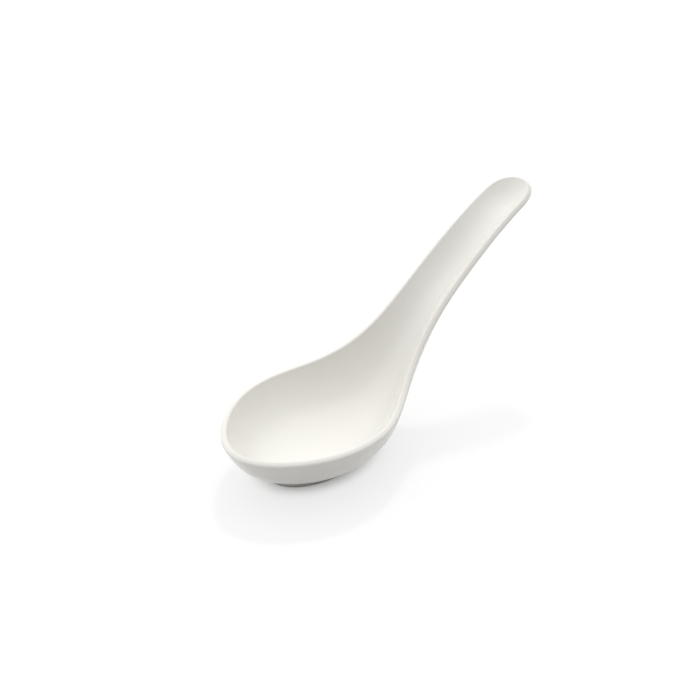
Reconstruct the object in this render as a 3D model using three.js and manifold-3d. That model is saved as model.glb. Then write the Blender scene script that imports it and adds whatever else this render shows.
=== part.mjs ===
// Finger food spoon: a glazed porcelain casting that stands on a bare foot ring.
// Millimetres, +Z up. The bowl is at the low X end and the handle rises towards +X.
// The spoon is a dished middle surface with a wall to both sides of it, closed by a rounded rim.

import * as THREE from 'three';
import { ParametricGeometry } from 'three/addons/geometries/ParametricGeometry.js';
import { mergeVertices } from 'three/addons/utils/BufferGeometryUtils.js';
import Module from 'manifold-3d';

const wasm = await Module();
wasm.setup();
const { clamp, lerp, smootherstep } = THREE.MathUtils;

// Wall over the glaze, thickest in the bowl's floor
const BOWL_RIM = 2;
const HANDLE_RIM = 1.8;
const BOWL_WALL = 4;
const HANDLE_WALL = 2.8;
const LIP_HEIGHT = 0.7;
const LIP_SQUARE = 2.6;
const GLAZE = 0.25;
const BOND_GAP = 0.05;

// Plan: widths over the glaze, lengths of the rim's middle line from the bowl's widest section
const BOWL_WIDTH = 45;
const HANDLE_WIDTH = 16.9;
const TIP_WIDTH = 14.7;
const NOSE_LENGTH = 29;
const TAIL_LENGTH = 89;
const TIP_ROUND = 8.4;
const WAIST_SPREAD = 19.2;
const WAIST_POWER = 2.37;
const NOSE_POINT = 0.17;
const TIP_SQUARE = 0.07;

// Side view: the rim is level over the bowl, climbs from the widest section and leans back to the tip
const NECK_LENGTH = 43.4;
const NECK_SLOPE = 0.812;
const LEAN_START = 19.1;
const LEAN_SLOPE = 0.534;
const LEAN_POWER = 1.5;

// Hollow: upright depths from the rim's middle line to the middle of the wall
const BOWL_DEPTH = 12.3;
const CHANNEL_DEPTH = 5.9;
const TIP_DEPTH = 3.6;
const FLOOR_LENGTH = 5;
const KEEL_LENGTH = 49.5;
const BOWL_FULLNESS = 4.5;
const CHANNEL_FULLNESS = 2.17;

// Foot ring
const FOOT_RISE = 1.4;
const FOOT_LENGTH = 37.2;
const FOOT_WIDTH = 22.4;
const FOOT_SETBACK = 2.8;
const FOOT_LAND = 2.2;
const FOOT_CHAMFER = 0.3;
const BARE_HEIGHT = 0.6;

// Facets
const NOSE_STEPS = 28;
const SIDE_STEPS = 26;
const TIP_STEPS = 10;
const WALL_STEPS = 7;
const LIP_STEPS = 6;
const FOOT_STEPS = 18;
const NUDGE = 1e-4;

// What follows from them
const RIM_HALF_WIDTH = (BOWL_WIDTH - BOWL_RIM) / 2;
const HANDLE_HALF_WIDTH = (HANDLE_WIDTH - HANDLE_RIM) / 2;
const TIP_HALF_WIDTH = (TIP_WIDTH - HANDLE_RIM) / 2;
const RIM_HEIGHT = FOOT_RISE + BOWL_WALL / 2 + BOWL_DEPTH;
const LEAN_LENGTH = TAIL_LENGTH - LEAN_START;
const FLOOR_END = FLOOR_LENGTH + KEEL_LENGTH;
const SIDE_END = TAIL_LENGTH - TIP_ROUND;
const LOOP_STEPS = NOSE_STEPS + 2 * SIDE_STEPS + TIP_STEPS;
const ROW_STEPS = 2 * WALL_STEPS + LIP_STEPS;
const CLAY_INSET = GLAZE + BOND_GAP;

// Height of the rim's middle line at the distance x behind the widest section.
// Its slope grows smoothly through the neck, then falls off along the handle.
function rimHeight(x) {
  const q = Math.max(0, x / NECK_LENGTH);
  const climb = q < 1 ? q ** 4 * (q * q - 3 * q + 5 / 2) : q - 1 / 2;
  const lean = Math.max(0, (x - LEAN_START) / LEAN_LENGTH);
  const drop = (LEAN_LENGTH * lean ** (LEAN_POWER + 1)) / (LEAN_POWER + 1);
  return RIM_HEIGHT + NECK_SLOPE * NECK_LENGTH * climb - LEAN_SLOPE * drop;
}

// Half width behind the widest section, a bell curve that runs out into the tapered handle
function halfWidth(x) {
  const handle = lerp(HANDLE_HALF_WIDTH, TIP_HALF_WIDTH, (x / TAIL_LENGTH) ** 2);
  return lerp(handle, RIM_HALF_WIDTH, Math.exp(-((x / WAIST_SPREAD) ** WAIST_POWER) / 2));
}

function bowlShare(x) {
  return 1 - smootherstep(x, FLOOR_LENGTH, FLOOR_END);
}

// Depth of the keel, which is level under the bowl and follows the rim along the handle
function floorDepth(x) {
  const channel = lerp(CHANNEL_DEPTH, TIP_DEPTH, smootherstep(x, FLOOR_END, SIDE_END));
  const level = rimHeight(x) - RIM_HEIGHT + BOWL_DEPTH;
  return lerp(channel, level, bowlShare(x));
}

// Depth of the middle surface at the share v of the way from the keel out to the rim
function dishDepth(root, v) {
  const fullness = lerp(CHANNEL_FULLNESS, BOWL_FULLNESS, bowlShare(root));
  return floorDepth(root) * (1 - v ** fullness);
}

function halfWall(root, v) {
  const floor = lerp(HANDLE_WALL, BOWL_WALL, bowlShare(root));
  const rim = lerp(HANDLE_RIM, BOWL_RIM, bowlShare(root));
  return lerp(floor, rim, v * v) / 2;
}

// Middle of the rim, for u once round from 0 to 1: nose, right side, tip, left side.
// root is the place on the keel that the section springs from.
function rimAt(u) {
  const step = (u - Math.floor(u)) * LOOP_STEPS;
  if (step <= NOSE_STEPS) {
    const turn = (Math.PI * step) / NOSE_STEPS;
    const narrow = 1 - NOSE_POINT * Math.sin(turn) ** 2;
    return { root: 0, x: -NOSE_LENGTH * Math.sin(turn), y: RIM_HALF_WIDTH * Math.cos(turn) * narrow };
  }
  const right = (step - NOSE_STEPS) / SIDE_STEPS;
  if (right <= 1) {
    const x = SIDE_END * right;
    return { root: x, x, y: -halfWidth(x) };
  }
  const tip = (step - NOSE_STEPS - SIDE_STEPS) / TIP_STEPS;
  if (tip <= 1) {
    const turn = Math.PI * tip;
    const half = halfWidth(SIDE_END) * (1 + TIP_SQUARE * Math.sin(turn) ** 2);
    return { root: SIDE_END, x: SIDE_END + TIP_ROUND * Math.sin(turn), y: -half * Math.cos(turn) };
  }
  const left = (step - NOSE_STEPS - SIDE_STEPS - TIP_STEPS) / SIDE_STEPS;
  const x = SIDE_END * (1 - left);
  return { root: x, x, y: halfWidth(x) };
}

// Point at a depth under the rim line, at the share v of the way out to the rim
function place(rim, v, depth) {
  const x = lerp(rim.root, rim.x, v);
  return new THREE.Vector3(x, rim.y * v, rimHeight(x) - depth);
}

function middle(u, v) {
  const rim = rimAt(u);
  return place(rim, v, dishDepth(rim.root, v));
}

// Direction of the middle surface from the keel towards the rim
function towardsRim(u, v) {
  return middle(u, v + NUDGE).sub(middle(u, v - NUDGE)).normalize();
}

function outward(u, v) {
  if (v === 0) {
    const { root } = rimAt(u);
    const drop = floorDepth(root + NUDGE) - floorDepth(root);
    const climb = rimHeight(root + NUDGE) - rimHeight(root) - drop;
    return new THREE.Vector3(climb, 0, -NUDGE).normalize();
  }
  const round = middle(u + NUDGE, v).sub(middle(u - NUDGE, v));
  return round.cross(towardsRim(u, v)).normalize();
}

// Rows close up towards the rim, where the wall bends most
function spread(share) {
  return Math.sin((share * Math.PI) / 2);
}

// Rounds a corner less than a circle would
function squared(share) {
  return Math.sign(share) * Math.abs(share) ** (2 / LIP_SQUARE);
}

// Skin at an inset from the outside of the wall: up the outside, over the rim, down the inside
function skinGeometry(inset) {
  const point = (u, w, target) => {
    const row = w * ROW_STEPS;
    const lip = clamp((row - WALL_STEPS) / LIP_STEPS, 0, 1);
    const v = spread(Math.min(1, row / WALL_STEPS, (ROW_STEPS - row) / WALL_STEPS));
    const distance = halfWall(rimAt(u).root, v) - inset;
    const turn = Math.PI * lip;
    target.copy(middle(u, v));
    target.addScaledVector(outward(u, v), distance * squared(Math.cos(turn)));
    if (v === 1) {
      target.addScaledVector(towardsRim(u, v), (LIP_HEIGHT - inset) * squared(Math.sin(turn)));
    }
  };
  return new ParametricGeometry(point, LOOP_STEPS, ROW_STEPS);
}

// What the spoon would hold if it were filled level with its rim, down to the middle surface
function fillingGeometry() {
  const point = (u, w, target) => {
    const rim = rimAt(u);
    const v = spread(Math.min(2 * w, 2 - 2 * w));
    const depth = w < 1 / 2 ? dishDepth(rim.root, v) : 0;
    target.copy(place(rim, v, depth));
  };
  return new ParametricGeometry(point, LOOP_STEPS, 2 * WALL_STEPS);
}

function footOutline(grow) {
  const oval = new THREE.Shape();
  oval.absellipse(FOOT_SETBACK, 0, FOOT_LENGTH / 2 + grow, FOOT_WIDTH / 2 + grow, 0, 2 * Math.PI);
  return oval;
}

// Upright block over an outline, standing on the table and reaching into the bowl
function uprightGeometry(outline, chamfer) {
  const height = FOOT_RISE + BOWL_DEPTH / 2;
  const geometry = new THREE.ExtrudeGeometry(outline, {
    depth: height - 2 * chamfer,
    curveSegments: FOOT_STEPS * 2,
    bevelEnabled: chamfer > 0,
    bevelThickness: chamfer,
    bevelSize: chamfer,
    bevelOffset: -chamfer,
    bevelSegments: 1,
  });
  return geometry.translate(0, 0, chamfer);
}

function solidFrom(geometry) {
  geometry.deleteAttribute('normal');
  geometry.deleteAttribute('uv');
  const merged = mergeVertices(geometry);
  const corners = merged.index.array;
  const triangles = [];
  for (let i = 0; i < corners.length; i += 3) {
    const [a, b, c] = corners.slice(i, i + 3);
    if (a !== b && b !== c && c !== a) {
      triangles.push(a, b, c);
    }
  }
  return new wasm.Manifold(new wasm.Mesh({
    numProp: 3,
    vertProperties: new Float32Array(merged.attributes.position.array),
    triVerts: new Uint32Array(triangles),
  }));
}

function geometryFrom(solid) {
  const mesh = solid.getMesh();
  const geometry = new THREE.BufferGeometry();
  geometry.setAttribute('position', new THREE.BufferAttribute(mesh.vertProperties, 3));
  geometry.setIndex(new THREE.BufferAttribute(mesh.triVerts, 1));
  geometry.computeVertexNormals();
  return geometry;
}

const filling = solidFrom(fillingGeometry());

// Ring under the bowl, grown to both sides, up to the middle of the wall above it
function footRing(grow, chamfer) {
  const outline = footOutline(grow);
  outline.holes.push(footOutline(-FOOT_LAND - grow));
  return solidFrom(uprightGeometry(outline, chamfer)).subtract(filling);
}

const clay = solidFrom(skinGeometry(CLAY_INSET)).add(footRing(0, FOOT_CHAMFER));

// The glaze follows the clay and the sides of the foot ring, and is wiped off near the table
const glazeOutside = solidFrom(skinGeometry(0)).add(footRing(CLAY_INSET, 0));
const glazeSeat = solidFrom(skinGeometry(GLAZE)).add(footRing(BOND_GAP, 0));
const wiped = solidFrom(new THREE.BoxGeometry(2 * TAIL_LENGTH, 2 * BOWL_WIDTH, 2 * BARE_HEIGHT));
const glaze = glazeOutside.subtract(glazeSeat).subtract(wiped);

// The bare ring parts the glaze under the bowl from the rest
const underBowl = solidFrom(uprightGeometry(footOutline(-FOOT_LAND / 2), 0)).subtract(filling);

function piece(name, solid, look) {
  const mesh = new THREE.Mesh(geometryFrom(solid), new THREE.MeshStandardMaterial(look));
  mesh.name = name;
  return mesh;
}

const biscuitLook = { color: 0xe6e0d4, roughness: 0.8, metalness: 0 };
const glazeLook = { color: 0xf3f1ea, roughness: 0.12, metalness: 0 };

const spoon = new THREE.Group();
spoon.add(piece('porcelain_body', clay, biscuitLook));
spoon.add(piece('glaze_coat', glaze.subtract(underBowl), glazeLook));
spoon.add(piece('foot_recess_glaze', glaze.intersect(underBowl), glazeLook));

// The origin is on the table, under the middle of the spoon's length
const extent = new THREE.Box3().setFromObject(spoon);
spoon.position.x = -(extent.min.x + extent.max.x) / 2;

export default spoon;
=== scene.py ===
"""Finger food spoon: smooth glazed porcelain on a bare foot ring, standing on a pale floor."""

import math

import bmesh
import bpy
import numpy as np
from mathutils import Matrix, Vector


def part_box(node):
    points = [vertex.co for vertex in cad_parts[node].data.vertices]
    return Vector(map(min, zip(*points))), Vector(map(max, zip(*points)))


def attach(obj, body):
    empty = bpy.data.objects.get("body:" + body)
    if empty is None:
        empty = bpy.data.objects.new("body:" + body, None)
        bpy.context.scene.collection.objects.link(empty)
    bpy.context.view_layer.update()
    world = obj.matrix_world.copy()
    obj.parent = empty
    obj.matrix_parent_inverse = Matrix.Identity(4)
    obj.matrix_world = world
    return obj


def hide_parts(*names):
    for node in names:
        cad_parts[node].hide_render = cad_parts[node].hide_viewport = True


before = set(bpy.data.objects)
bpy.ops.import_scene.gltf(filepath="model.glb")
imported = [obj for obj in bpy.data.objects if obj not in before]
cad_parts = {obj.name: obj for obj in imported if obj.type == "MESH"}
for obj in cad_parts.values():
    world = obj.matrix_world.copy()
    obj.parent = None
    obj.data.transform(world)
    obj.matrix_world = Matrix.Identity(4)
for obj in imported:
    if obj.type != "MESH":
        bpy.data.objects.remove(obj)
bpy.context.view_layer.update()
scene = bpy.context.scene
MM = 1e-3

# Sizes in millimetres, as in the part's source
BOWL_RIM, HANDLE_RIM = 2, 1.8
BOWL_WALL, HANDLE_WALL = 4, 2.8
LIP_HEIGHT, LIP_SQUARE = 0.7, 2.6
GLAZE, BOND_GAP = 0.25, 0.05
BOWL_WIDTH, HANDLE_WIDTH, TIP_WIDTH = 45, 16.9, 14.7
NOSE_LENGTH, TAIL_LENGTH, TIP_ROUND = 29, 89, 8.4
WAIST_SPREAD, WAIST_POWER = 19.2, 2.37
NOSE_POINT, TIP_SQUARE = 0.17, 0.07
NECK_LENGTH, NECK_SLOPE = 43.4, 0.812
LEAN_START, LEAN_SLOPE, LEAN_POWER = 19.1, 0.534, 1.5
BOWL_DEPTH, CHANNEL_DEPTH, TIP_DEPTH = 12.3, 5.9, 3.6
FLOOR_LENGTH, KEEL_LENGTH = 5, 49.5
BOWL_FULLNESS, CHANNEL_FULLNESS = 4.5, 2.17
FOOT_RISE, FOOT_LENGTH, FOOT_WIDTH = 1.4, 37.2, 22.4
FOOT_SETBACK, FOOT_LAND, FOOT_CHAMFER = 2.8, 2.2, 0.3
BARE_HEIGHT = 0.6

RIM_HALF = (BOWL_WIDTH - BOWL_RIM) / 2
HANDLE_HALF = (HANDLE_WIDTH - HANDLE_RIM) / 2
TIP_HALF = (TIP_WIDTH - HANDLE_RIM) / 2
RIM_HEIGHT = FOOT_RISE + BOWL_WALL / 2 + BOWL_DEPTH
LEAN_LENGTH = TAIL_LENGTH - LEAN_START
FLOOR_END = FLOOR_LENGTH + KEEL_LENGTH
SIDE_END = TAIL_LENGTH - TIP_ROUND
CLAY_INSET = GLAZE + BOND_GAP

# Sizes in millimetres that only the smooth model has
SKIN_INSET = 0.03
SKIN_GROW = CLAY_INSET - SKIN_INSET
SKIN_THICK = SKIN_GROW - BOND_GAP
BEAD_HEIGHT = BARE_HEIGHT + SKIN_THICK
FOOT_FILLET = 1.1

# The fillet takes at most this share of the foot's height
FILLET_SHARE = 0.75

# The keel stops at this share of the way out to the nose and to the tip
KEEL_SHARE = 0.45

# Lines of the mesh along the spoon, and rows of points along each line
NOSE_LINES, BOWL_LINES, HANDLE_LINES, TIP_LINES = 84, 64, 90, 30
RECESS_LINES = 96
SKIN_WALL_ROWS, SKIN_LIP_ROWS, SKIN_FILLET_ROWS = 44, 20, 10
SEAT_WALL_ROWS, SEAT_LIP_ROWS, SEAT_FILLET_ROWS = 14, 8, 6
CLAY_WALL_ROWS, CLAY_LIP_ROWS, CLAY_FILLET_ROWS = 20, 10, 8
SKIN_ROOF_ROWS, INNER_ROOF_ROWS = 24, 12
FOOT_SIDE_ROWS, FOOT_EDGE_ROWS, FOOT_LAND_ROWS = 3, 6, 6

# Small step for slopes, and rounds of the two searches
STEP = 1e-4
FAN_ROUNDS, UNDER_ROUNDS = 40, 25

# In millimetres, what counts as on the mirror plane; in metres, points that become one and edges that go
ON_PLANE = 1e-6
WELD, SLIVER = 1e-6, 1e-7

# The foot recess is centred on the foot ring, which gives the place of the widest section
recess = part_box("foot_recess_glaze")
SHIFT = (recess[0].x + recess[1].x) / 2 / MM - FOOT_SETBACK


# Form of the middle surface

def lerp(a, b, t):
    return a + (b - a) * t


def smoother(x, low, high):
    """Rise from 0 to 1 without a jump in slope or curvature."""
    t = np.clip((x - low) / (high - low), 0, 1)
    return t ** 3 * (t * (6 * t - 15) + 10)


def rim_height(x):
    """Height of the rim: its slope grows along the neck as in smoother, and the handle leans back."""
    q = np.maximum(x / NECK_LENGTH, 0)
    climb = np.where(q < 1, q ** 4 * (q * q - 3 * q + 2.5), q - 0.5)
    lean = np.maximum((x - LEAN_START) / LEAN_LENGTH, 0)
    drop = LEAN_LENGTH * lean ** (LEAN_POWER + 1) / (LEAN_POWER + 1)
    return RIM_HEIGHT + NECK_SLOPE * NECK_LENGTH * climb - LEAN_SLOPE * drop


def half_width(x):
    handle = lerp(HANDLE_HALF, TIP_HALF, (x / TAIL_LENGTH) ** 2)
    return lerp(handle, RIM_HALF, np.exp(-((x / WAIST_SPREAD) ** WAIST_POWER) / 2))


def bowl_share(x):
    """1 in the bowl, down to 0 where the handle's channel begins."""
    return 1 - smoother(x, FLOOR_LENGTH, FLOOR_END)


def floor_depth(x):
    """Depth of the keel below the rim."""
    channel = lerp(CHANNEL_DEPTH, TIP_DEPTH, smoother(x, FLOOR_END, SIDE_END))
    return lerp(channel, rim_height(x) - RIM_HEIGHT + BOWL_DEPTH, bowl_share(x))


def nose_rim(turn):
    """Rim round the nose: distances ahead of its root and beside it."""
    s, c = np.sin(turn), np.cos(turn)
    return NOSE_LENGTH * s, RIM_HALF * c * (1 - NOSE_POINT * s * s)


def tip_rim(turn):
    """Rim round the handle's tip: distances behind its root and beside it."""
    s, c = np.sin(turn), np.cos(turn)
    return TIP_ROUND * s, half_width(SIDE_END) * c * (1 + TIP_SQUARE * s * s)


def fan_share(along, across, rim):
    """Share of the way out to a rounded end, along the ray from its root."""
    low = np.zeros_like(along)
    high = np.full_like(along, math.pi / 2)
    for _ in range(FAN_ROUNDS):
        turn = (low + high) / 2
        a, b = rim(turn)
        past = a * across > b * along
        high = np.where(past, turn, high)
        low = np.where(past, low, turn)
    a, b = rim((low + high) / 2)
    return np.hypot(along, across) / np.hypot(a, b)


def plan(x, y):
    """Root on the keel and share of the way out to the rim, for a place in plan."""
    y = np.abs(y)
    root = np.clip(x, 0, SIDE_END)
    share = y / half_width(root)
    nose, tip = x < 0, x > SIDE_END
    share[nose] = fan_share(-x[nose], y[nose], nose_rim)
    share[tip] = fan_share(x[tip] - SIDE_END, y[tip], tip_rim)
    return root, share


def dish(x, y):
    """Height of the middle surface."""
    root, share = plan(x, y)
    fullness = lerp(CHANNEL_FULLNESS, BOWL_FULLNESS, bowl_share(root))
    return rim_height(x) - floor_depth(root) * (1 - share ** fullness)


def normal(x, y):
    """Upward normal of the middle surface."""
    slope_x = (dish(x + STEP, y) - dish(x - STEP, y)) / (2 * STEP)
    slope_y = (dish(x, y + STEP) - dish(x, y - STEP)) / (2 * STEP)
    n = np.stack([-slope_x, -slope_y, np.ones_like(slope_x)], -1)
    return n / np.linalg.norm(n, axis=-1, keepdims=True)


def half_wall(x, y):
    """Half the thickness of the wall, which thins towards the rim."""
    root, share = plan(x, y)
    bowl = bowl_share(root)
    wall = lerp(HANDLE_WALL, BOWL_WALL, bowl)
    rim = lerp(HANDLE_RIM, BOWL_RIM, bowl)
    return lerp(wall, rim, share ** 2) / 2


def skin(q, side, inset):
    """Point of the spoon's surface over (side 1) or under (side -1) the middle surface."""
    x, y = q[..., 0], q[..., 1]
    middle = np.stack([x, y, dish(x, y)], -1)
    return middle + side * (half_wall(x, y) - inset)[..., None] * normal(x, y)


def under(place, inset):
    """The place on the middle surface whose underside lies at this place in plan."""
    q = place.copy()
    for _ in range(UNDER_ROUNDS):
        n = normal(q[..., 0], q[..., 1])
        wall = half_wall(q[..., 0], q[..., 1]) - inset
        q = place + n[..., :2] * wall[..., None]
    return q


def ring(angle, grow):
    """Ellipse of the foot ring's outside, grown by so much."""
    x = FOOT_SETBACK + (FOOT_LENGTH / 2 + grow) * np.cos(angle)
    return np.stack([x, (FOOT_WIDTH / 2 + grow) * np.sin(angle)], -1)


def squared(share):
    """A sine or cosine that goes round a squarer curve than a circle."""
    return np.sign(share) * np.abs(share) ** (2 / LIP_SQUARE)


# Grids of points in millimetres: each covers one half of a stretch of surface

class Lines:
    """Lines of the mesh from the keel, or from round the foot ring, out to the rim."""

    def __init__(self, inset, reach):
        self.inset = inset
        foot_back = under(ring(np.zeros(1), reach), inset)[0, 0]
        nose_x, nose_y = nose_rim(np.linspace(math.pi / 2, 0, NOSE_LINES + 1))
        tip_x, tip_y = tip_rim(np.linspace(0, math.pi / 2, TIP_LINES + 1)[1:])
        side = np.concatenate([np.linspace(0, foot_back, BOWL_LINES + 1)[1:],
                               np.linspace(foot_back, SIDE_END, HANDLE_LINES + 1)[1:]])
        rim_x = np.concatenate([-nose_x, side, SIDE_END + tip_x])
        rim_y = np.concatenate([nose_y, half_width(side), tip_y])
        rim_y[0] = rim_y[-1] = 0
        self.rim = np.stack([rim_x, rim_y], -1)
        keel_x = np.concatenate([-KEEL_SHARE * nose_x, side, SIDE_END + KEEL_SHARE * tip_x])
        self.keel = np.stack([keel_x, np.zeros_like(keel_x)], -1)
        self.around = NOSE_LINES + BOWL_LINES
        self.start_at_foot(reach)

    def start_at_foot(self, reach):
        """Starts of the lines on the underside: round the foot ring, and on the keel behind it."""
        widest = math.acos(-FOOT_SETBACK / (FOOT_LENGTH / 2 + reach))
        self.angle = np.concatenate([np.linspace(math.pi, widest, NOSE_LINES + 1),
                                     np.linspace(widest, 0, BOWL_LINES + 1)[1:]])
        self.foot = self.keel.copy()
        self.foot[:self.around + 1] = under(ring(self.angle, reach), self.inset)
        self.foot[0, 1] = self.foot[self.around, 1] = 0

    def wall(self, start, side, rows):
        """Rows on one side of the wall, from its start out to the rim, where they lie closer."""
        share = np.sin(np.linspace(0, math.pi / 2, rows + 1))[None, :, None]
        q = start[:, None] + (self.rim - start)[:, None] * share
        q[:, -1] = self.rim
        return skin(q, side, self.inset)

    def lip(self, rows):
        """Rows over the rounded rim, from the underside to the upper side."""
        x, y = self.rim[:, 0], self.rim[:, 1]
        root = np.clip(x, 0, SIDE_END)
        out = np.stack([x - root, y], -1)
        far, near = out * (1 + STEP), out * (1 - STEP)
        rise = dish(root + far[:, 0], far[:, 1]) - dish(root + near[:, 0], near[:, 1])
        up = np.concatenate([out, rise[:, None] / (2 * STEP)], -1)
        up /= np.linalg.norm(up, axis=-1, keepdims=True)
        middle = np.stack([x, y, dish(x, y)], -1)
        turn = np.linspace(0, math.pi, rows + 1)
        across = (half_wall(x, y) - self.inset)[:, None] * squared(np.cos(turn))
        along = squared(np.sin(turn)) * (LIP_HEIGHT - self.inset)
        return (middle[:, None] + up[:, None] * along[None, :, None]
                - normal(x, y)[:, None] * across[..., None])

    def rows(self, wall_rows, lip_rows):
        """Rows from the foot ring or keel out along the underside, over the rim and in to the keel."""
        below = self.wall(self.foot, -1, wall_rows)
        above = self.wall(self.keel, 1, wall_rows)
        return np.concatenate([below[:, :-1], self.lip(lip_rows), above[:, ::-1][:, 1:]], 1)


def lift(place, height):
    """Places in plan as points at this height."""
    return np.concatenate([place, np.broadcast_to(height, place.shape[:-1])[..., None]], -1)


def foot_wall(angle, inset, grow, fillet, bottom, fillet_rows):
    """Rows from the underside, round a fillet and down a side of the foot ring to the bottom height."""
    start = skin(under(ring(angle, grow + fillet), inset), -1, inset)
    corner = skin(under(ring(angle, grow), inset), -1, inset)
    end = corner.copy()
    end[:, 2] -= np.minimum(abs(fillet), FILLET_SHARE * (corner[:, 2] - bottom))
    t = np.linspace(0, 1, fillet_rows + 1)[None, :, None]
    bend = (1 - t) ** 2 * start[:, None] + 2 * t * (1 - t) * corner[:, None] + t ** 2 * end[:, None]
    low = end.copy()
    low[:, 2] = bottom
    t = np.linspace(0, 1, FOOT_SIDE_ROWS + 1)[None, 1:, None]
    return np.concatenate([bend, end[:, None] + (low - end)[:, None] * t], 1)


def turned(angle, grow, height, width, rise):
    """Rows round a quarter from the wall at this growth and height, by so much sideways and in height."""
    quarter = np.linspace(0, math.pi / 2, FOOT_EDGE_ROWS + 1)
    return np.stack([lift(ring(angle, grow + width * (1 - math.cos(a))), height + rise * math.sin(a))
                     for a in quarter], 1)


def ceiling(angle, inset, reach, rows):
    """Rows over the recess from inside the foot ring in to the keel."""
    edge = ring(angle, reach)
    place = np.stack([edge * (1, share) for share in np.linspace(1, 0, rows + 1)], 1)
    return skin(under(place, inset), -1, inset)


# Meshes

def grid_faces(base, lines, rows):
    corner = base + (np.arange(lines - 1)[:, None] * rows + np.arange(rows - 1)[None]).reshape(-1)
    return np.stack([corner, corner + rows, corner + rows + 1, corner + 1], -1)


def weld(mesh):
    """Joins the grids along their edges and turns all faces outwards."""
    bm = bmesh.new()
    bm.from_mesh(mesh)
    bmesh.ops.remove_doubles(bm, verts=bm.verts, dist=WELD)
    bmesh.ops.dissolve_degenerate(bm, edges=bm.edges, dist=SLIVER)
    bmesh.ops.recalc_face_normals(bm, faces=bm.faces)
    bm.to_mesh(mesh)
    bm.free()


def mesh_piece(name, grids, first_marks=0.0):
    """Closed mesh from grids and their mirror images, with marks for the first grid's points."""
    verts, faces, marks = [], [], []
    base = 0
    for index, grid in enumerate(grids):
        half = np.array(grid, float)
        half[np.abs(half[..., 1]) < ON_PLANE, 1] = 0
        lines, rows = half.shape[:2]
        mark = np.broadcast_to(0.0 if index else first_marks, (lines, rows))
        for mirror in (1, -1):
            verts.append((half * (1, mirror, 1)).reshape(-1, 3))
            faces.append(grid_faces(base, lines, rows)[:, ::mirror])
            marks.append(mark.reshape(-1))
            base += lines * rows
    points = (np.concatenate(verts) + (SHIFT, 0, 0)) * MM
    mesh = bpy.data.meshes.new(name)
    mesh.from_pydata(points.tolist(), [], np.concatenate(faces).tolist())
    mesh.attributes.new("edge", "FLOAT", "POINT").data.foreach_set("value", np.concatenate(marks))
    weld(mesh)
    mesh.polygons.foreach_set("use_smooth", [True] * len(mesh.polygons))
    obj = bpy.data.objects.new(name, mesh)
    scene.collection.objects.link(obj)
    return obj


def make_glaze_skin():
    """Glaze over the whole spoon, down to the wiped line on the foot ring, with its lip marked."""
    outside = Lines(SKIN_INSET, SKIN_GROW + FOOT_FILLET)
    outer_wall = foot_wall(outside.angle, SKIN_INSET, SKIN_GROW, FOOT_FILLET, BEAD_HEIGHT, SKIN_FILLET_ROWS)
    bead = turned(outside.angle, SKIN_GROW, BEAD_HEIGHT, -SKIN_THICK, -SKIN_THICK)
    skin_rows = outside.rows(SKIN_WALL_ROWS, SKIN_LIP_ROWS)
    skin_rows[:outside.around + 1, 0] = outer_wall[:, 0]
    seat = Lines(GLAZE, BOND_GAP + FOOT_FILLET)
    seat_wall = foot_wall(seat.angle, GLAZE, BOND_GAP, FOOT_FILLET, BARE_HEIGHT, SEAT_FILLET_ROWS)[:, ::-1]
    seat_wall[:, 0] = bead[:, -1]
    seat_rows = seat.rows(SEAT_WALL_ROWS, SEAT_LIP_ROWS)
    seat_rows[:seat.around + 1, 0] = seat_wall[:, -1]
    plain = np.zeros(SKIN_WALL_ROWS)
    lip = np.sin(np.linspace(0, math.pi, SKIN_LIP_ROWS + 1))
    return mesh_piece("glaze_skin", [skin_rows, outer_wall, bead, seat_wall, seat_rows],
                      np.concatenate([plain, lip, plain])[None])


def make_recess_glaze():
    """Glaze inside the foot ring."""
    angle = np.linspace(math.pi, 0, RECESS_LINES + 1)
    grow, back_grow = -FOOT_LAND - SKIN_GROW, -FOOT_LAND - BOND_GAP
    wall = foot_wall(angle, SKIN_INSET, grow, -FOOT_FILLET, BEAD_HEIGHT, SKIN_FILLET_ROWS)
    bead = turned(angle, grow, BEAD_HEIGHT, SKIN_THICK, -SKIN_THICK)
    back_wall = foot_wall(angle, GLAZE, back_grow, -FOOT_FILLET, BARE_HEIGHT, SEAT_FILLET_ROWS)[:, ::-1]
    back_wall[:, 0] = bead[:, -1]
    roof = ceiling(angle, SKIN_INSET, grow - FOOT_FILLET, SKIN_ROOF_ROWS)
    back = ceiling(angle, GLAZE, back_grow - FOOT_FILLET, INNER_ROOF_ROWS)
    return mesh_piece("recess_glaze", [roof, wall, bead, back_wall, back])


def make_clay_body():
    """Clay body with its bare foot ring."""
    body = Lines(CLAY_INSET, FOOT_FILLET)
    angle = body.angle
    wall = foot_wall(angle, CLAY_INSET, 0, FOOT_FILLET, FOOT_CHAMFER, CLAY_FILLET_ROWS)
    rows = body.rows(CLAY_WALL_ROWS, CLAY_LIP_ROWS)
    rows[:body.around + 1, 0] = wall[:, 0]
    heel = turned(angle, 0, FOOT_CHAMFER, -FOOT_CHAMFER, -FOOT_CHAMFER)
    land_grow = np.linspace(-FOOT_CHAMFER, FOOT_CHAMFER - FOOT_LAND, FOOT_LAND_ROWS + 1)
    land = np.stack([lift(ring(angle, grow), 0) for grow in land_grow], 1)
    toe = turned(angle, -FOOT_LAND, FOOT_CHAMFER, FOOT_CHAMFER, -FOOT_CHAMFER)[:, ::-1]
    inner = foot_wall(angle, CLAY_INSET, -FOOT_LAND, -FOOT_FILLET, FOOT_CHAMFER, CLAY_FILLET_ROWS)[:, ::-1]
    roof = ceiling(angle, CLAY_INSET, -FOOT_LAND - FOOT_FILLET, INNER_ROOF_ROWS)
    return mesh_piece("clay_body", [rows, wall, heel, land, toe, inner, roof])


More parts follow.
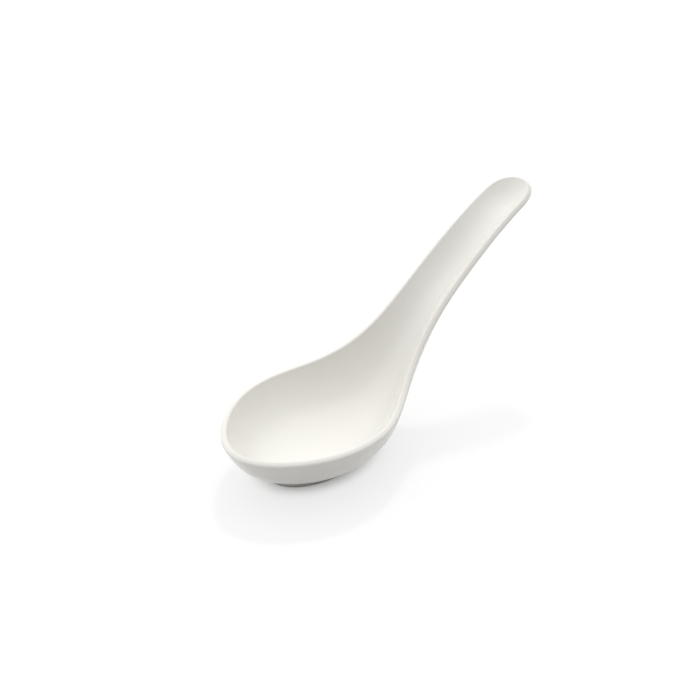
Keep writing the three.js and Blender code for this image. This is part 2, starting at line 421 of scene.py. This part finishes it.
# Materials: colours are linear, noise scales are per metre and bump heights are in metres
GLAZE_LOW, GLAZE_HIGH = (0.918, 0.904, 0.851, 1), (0.934, 0.920, 0.869, 1)
GLAZE_RIM, RIM_SHARE = (0.936, 0.913, 0.847, 1), 0.6
GLAZE_SMOOTH, GLAZE_ROUGH, GLAZE_IOR = 0.17, 0.25, 1.5
GLAZE_CLOUD, GLAZE_SHEEN = 55, 160
WAVE_SCALE, WAVE_HEIGHT, WAVE_STRENGTH = 140, 4e-5, 0.35
PEEL_SCALE, PEEL_HEIGHT, PEEL_STRENGTH = 1400, 3e-6, 0.3
CLAY_DARK, CLAY_MIDDLE, CLAY_PALE = (0.72, 0.67, 0.59, 1), (0.78, 0.735, 0.66, 1), (0.83, 0.79, 0.72, 1)
CLAY_SMOOTH, CLAY_ROUGH = 0.68, 0.9
CLAY_CLOUD = 240
GRAIN_SCALE, GRAIN_HEIGHT, GRAIN_STRENGTH = 5200, 2e-5, 0.6


def new_material(name):
    material = bpy.data.materials.new(name)
    material.use_nodes = True
    tree = material.node_tree
    return material, tree, tree.nodes["Principled BSDF"]


def add(tree, kind, **settings):
    node = tree.nodes.new(kind)
    for key, value in settings.items():
        setattr(node, key, value)
    return node


def noise(tree, coords, scale, detail, rough=0.5):
    node = add(tree, "ShaderNodeTexNoise")
    tree.links.new(coords.outputs["Object"], node.inputs["Vector"])
    node.inputs["Scale"].default_value = scale
    node.inputs["Detail"].default_value = detail
    node.inputs["Roughness"].default_value = rough
    return node.outputs["Fac"]


def ramp(tree, value, stops):
    """Colour that follows the value through stops, each a place and a colour."""
    node = add(tree, "ShaderNodeValToRGB")
    first, last = node.color_ramp.elements
    first.position, first.color = stops[0]
    last.position, last.color = stops[-1]
    for place, colour in stops[1:-1]:
        node.color_ramp.elements.new(place).color = colour
    tree.links.new(value, node.inputs["Fac"])
    return node.outputs["Color"]


def spread(tree, value, low, high):
    """The value, from 0 to 1, spread from low to high."""
    node = add(tree, "ShaderNodeMapRange")
    node.inputs["To Min"].default_value = low
    node.inputs["To Max"].default_value = high
    tree.links.new(value, node.inputs["Value"])
    return node.outputs["Result"]


def bump(tree, height, distance, strength, on_top_of=None):
    node = add(tree, "ShaderNodeBump")
    node.inputs["Distance"].default_value = distance
    node.inputs["Strength"].default_value = strength
    tree.links.new(height, node.inputs["Height"])
    if on_top_of is not None:
        tree.links.new(on_top_of, node.inputs["Normal"])
    return node.outputs["Normal"]


def glaze_material():
    """Glossy off-white with a faint cloud in its tone, slight waves and a warmer, thinner coat on the lip."""
    material, tree, shader = new_material("glazed_porcelain")
    coords = add(tree, "ShaderNodeTexCoord")
    cloud = noise(tree, coords, GLAZE_CLOUD, detail=4)
    edge = add(tree, "ShaderNodeAttribute", attribute_name="edge")
    mix = add(tree, "ShaderNodeMix", data_type="RGBA")
    tree.links.new(spread(tree, edge.outputs["Fac"], 0, RIM_SHARE), mix.inputs["Factor"])
    tree.links.new(ramp(tree, cloud, [(0.3, GLAZE_LOW), (0.7, GLAZE_HIGH)]), mix.inputs["A"])
    mix.inputs["B"].default_value = GLAZE_RIM
    tree.links.new(mix.outputs["Result"], shader.inputs["Base Color"])
    sheen = noise(tree, coords, GLAZE_SHEEN, detail=3)
    tree.links.new(spread(tree, sheen, GLAZE_SMOOTH, GLAZE_ROUGH), shader.inputs["Roughness"])
    wavy = bump(tree, noise(tree, coords, WAVE_SCALE, detail=2), WAVE_HEIGHT, WAVE_STRENGTH)
    fine = bump(tree, noise(tree, coords, PEEL_SCALE, detail=2), PEEL_HEIGHT, PEEL_STRENGTH, wavy)
    tree.links.new(fine, shader.inputs["Normal"])
    shader.inputs["IOR"].default_value = GLAZE_IOR
    return material


def clay_material():
    """Matt, grainy bare clay."""
    material, tree, shader = new_material("bare_clay")
    coords = add(tree, "ShaderNodeTexCoord")
    cloud = noise(tree, coords, CLAY_CLOUD, detail=5, rough=0.6)
    tone = ramp(tree, cloud, [(0.3, CLAY_DARK), (0.5, CLAY_MIDDLE), (0.75, CLAY_PALE)])
    tree.links.new(tone, shader.inputs["Base Color"])
    grain = noise(tree, coords, GRAIN_SCALE, detail=3, rough=0.7)
    tree.links.new(spread(tree, grain, CLAY_SMOOTH, CLAY_ROUGH), shader.inputs["Roughness"])
    tree.links.new(bump(tree, grain, GRAIN_HEIGHT, GRAIN_STRENGTH), shader.inputs["Normal"])
    return material


# The dressed spoon: each piece stands for one CAD node
glaze_coat = make_glaze_skin()
recess_glaze = make_recess_glaze()
clay_body = make_clay_body()
glaze = glaze_material()
for obj, node in ((glaze_coat, "glaze_coat"), (recess_glaze, "foot_recess_glaze")):
    obj.data.materials.append(glaze)
    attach(obj, "root")
    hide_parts(node)
clay_body.data.materials.append(clay_material())
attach(clay_body, "root")
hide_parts("porcelain_body")


# Camera at the photograph's angle: lengths in millimetres, angles in degrees
ELEVATION, TURN, DISTANCE = 32.41, 46.47, 526.3
TARGET_X, TARGET_Z = 30.94, 15
OFFSET_RIGHT, OFFSET_UP = -10.94, 6.25
PIXELS_PER_MM, PICTURE_PIXELS = 3.451, 700
SENSOR_WIDTH, CLIP_START = 36, 10


def add_camera():
    turn, high = math.radians(TURN), math.radians(ELEVATION)
    right = Vector((math.cos(turn), -math.sin(turn), 0))
    up = Vector((math.sin(turn) * math.sin(high), math.cos(turn) * math.sin(high), math.cos(high)))
    back = right.cross(up)
    target = Vector((TARGET_X + SHIFT, 0, TARGET_Z))
    place = target + OFFSET_RIGHT * right + OFFSET_UP * up + DISTANCE * back
    camera = bpy.data.objects.new("camera", bpy.data.cameras.new("camera"))
    camera.matrix_world = Matrix.Translation(place * MM) @ Matrix((right, up, back)).transposed().to_4x4()
    camera.data.sensor_width = SENSOR_WIDTH
    camera.data.lens = PIXELS_PER_MM * DISTANCE * SENSOR_WIDTH / PICTURE_PIXELS
    camera.data.clip_start = CLIP_START * MM
    scene.collection.objects.link(camera)
    scene.camera = camera


add_camera()


# Floor that shows white apart from the spoon's shadow: a glow makes up what the lit floor lacks,
# and goes out where the spoon, within the contact reach, hides most of what is above; sizes in metres
FLOOR_HALF, FLOOR_ROUGH = 4, 0.9
FLOOR_TONE, LIT_SHARE, GLOW = 0.58, 0.4, 1.23
CONTACT_REACH, CONTACT_CLEAR = 0.01, 0.4


def seen_directly(tree):
    """1 for the camera's rays, reflections and refractions, else 0."""
    path = add(tree, "ShaderNodeLightPath")
    seen = path.outputs["Is Camera Ray"]
    for ray in ("Is Glossy Ray", "Is Transmission Ray"):
        either = add(tree, "ShaderNodeMath", operation="MAXIMUM")
        tree.links.new(seen, either.inputs[0])
        tree.links.new(path.outputs[ray], either.inputs[1])
        seen = either.outputs[0]
    return seen


def mix_shaders(tree, share, first, second, output):
    """Sends the first shader to the output, with this share of the second."""
    blend = add(tree, "ShaderNodeMixShader")
    tree.links.new(share, blend.inputs["Fac"])
    tree.links.new(first.outputs[0], blend.inputs[1])
    tree.links.new(second.outputs[0], blend.inputs[2])
    tree.links.new(blend.outputs[0], tree.nodes[output].inputs["Surface"])


def open_to_light(tree):
    """1 on the open floor, down to 0 where the spoon is close above it: painted contact shade from ambient
    occlusion, on top of the lit floor's real shadow.
    """
    near = add(tree, "ShaderNodeAmbientOcclusion")
    near.inputs["Distance"].default_value = CONTACT_REACH
    clear = add(tree, "ShaderNodeMapRange", interpolation_type="SMOOTHSTEP")
    clear.inputs["From Max"].default_value = CONTACT_CLEAR
    tree.links.new(near.outputs["AO"], clear.inputs["Value"])
    return clear.outputs["Result"]


def floor_material():
    material, tree, lit = new_material("pale_floor")
    lit.inputs["Base Color"].default_value = (FLOOR_TONE, FLOOR_TONE, FLOOR_TONE, 1)
    lit.inputs["Roughness"].default_value = FLOOR_ROUGH
    lit.inputs["Specular IOR Level"].default_value = 0
    glow = add(tree, "ShaderNodeEmission")
    glow.inputs["Strength"].default_value = GLOW
    share = add(tree, "ShaderNodeMath", operation="MULTIPLY")
    tree.links.new(spread(tree, seen_directly(tree), 0, 1 - LIT_SHARE), share.inputs[0])
    # painted contact shade: ambient occlusion fades the glow under the spoon, leaving only the lit floor and
    # its real shadow
    tree.links.new(open_to_light(tree), share.inputs[1])
    mix_shaders(tree, share.outputs[0], lit, glow, "Material Output")
    return material


def make_floor():
    mesh = bpy.data.meshes.new("floor")
    corners = [(-1, -1, 0), (1, -1, 0), (1, 1, 0), (-1, 1, 0)]
    mesh.from_pydata([Vector(corner) * FLOOR_HALF for corner in corners], [], [(0, 1, 2, 3)])
    mesh.materials.append(floor_material())
    obj = bpy.data.objects.new("floor", mesh)
    scene.collection.objects.link(obj)
    return obj


floor = make_floor()


# Broad soft light from above and behind the spoon, and a small lamp that only draws its shadow:
# angles in degrees, round from the camera's view and up from the floor, and lengths in metres
SKY, SLANT, SLANT_TURN, SLANT_HIGH = 0.25, 1.33, -20, 60
LAMP_TURN, LAMP_HIGH, LAMP_DISTANCE, LAMP_SIZE, LAMP_POWER = 4, 53, 1.0, 0.11, 3.0


def direction(turn, high):
    a, e = math.radians(turn + TURN), math.radians(high)
    return Vector((math.sin(a) * math.cos(e), math.cos(a) * math.cos(e), math.sin(e)))


def add_surround():
    """World that is brightest in the slant's direction, and white where it is seen."""
    world = bpy.data.worlds.new("surround")
    world.use_nodes = True
    tree = world.node_tree
    coords = add(tree, "ShaderNodeTexCoord")
    lean = add(tree, "ShaderNodeVectorMath", operation="DOT_PRODUCT")
    tree.links.new(coords.outputs["Generated"], lean.inputs[0])
    lean.inputs[1].default_value = direction(SLANT_TURN, SLANT_HIGH) * SLANT
    level = add(tree, "ShaderNodeMath", operation="ADD")
    tree.links.new(lean.outputs["Value"], level.inputs[0])
    level.inputs[1].default_value = SKY
    least = add(tree, "ShaderNodeMath", operation="MAXIMUM")
    tree.links.new(level.outputs[0], least.inputs[0])
    least.inputs[1].default_value = 0
    sky = tree.nodes["Background"]
    sky.inputs["Color"].default_value = (1, 1, 1, 1)
    tree.links.new(least.outputs[0], sky.inputs["Strength"])
    white = add(tree, "ShaderNodeBackground")
    white.inputs["Color"].default_value = (1, 1, 1, 1)
    mix_shaders(tree, seen_directly(tree), sky, white, "World Output")
    scene.world = world


def add_shadow_lamp():
    """Lamp that lights the floor alone."""
    light = bpy.data.lights.new("shadow_lamp", "AREA")
    light.shape = "DISK"
    light.size = LAMP_SIZE
    light.energy = LAMP_POWER
    lamp = bpy.data.objects.new("shadow_lamp", light)
    way = direction(LAMP_TURN, LAMP_HIGH)
    lamp.location = way * LAMP_DISTANCE
    lamp.rotation_euler = way.to_track_quat("Z", "Y").to_euler()
    only_floor = bpy.data.collections.new("only_floor")
    only_floor.objects.link(floor)
    lamp.light_linking.receiver_collection = only_floor
    scene.collection.objects.link(lamp)


add_surround()
add_shadow_lamp()

scene.view_settings.view_transform = "Standard"
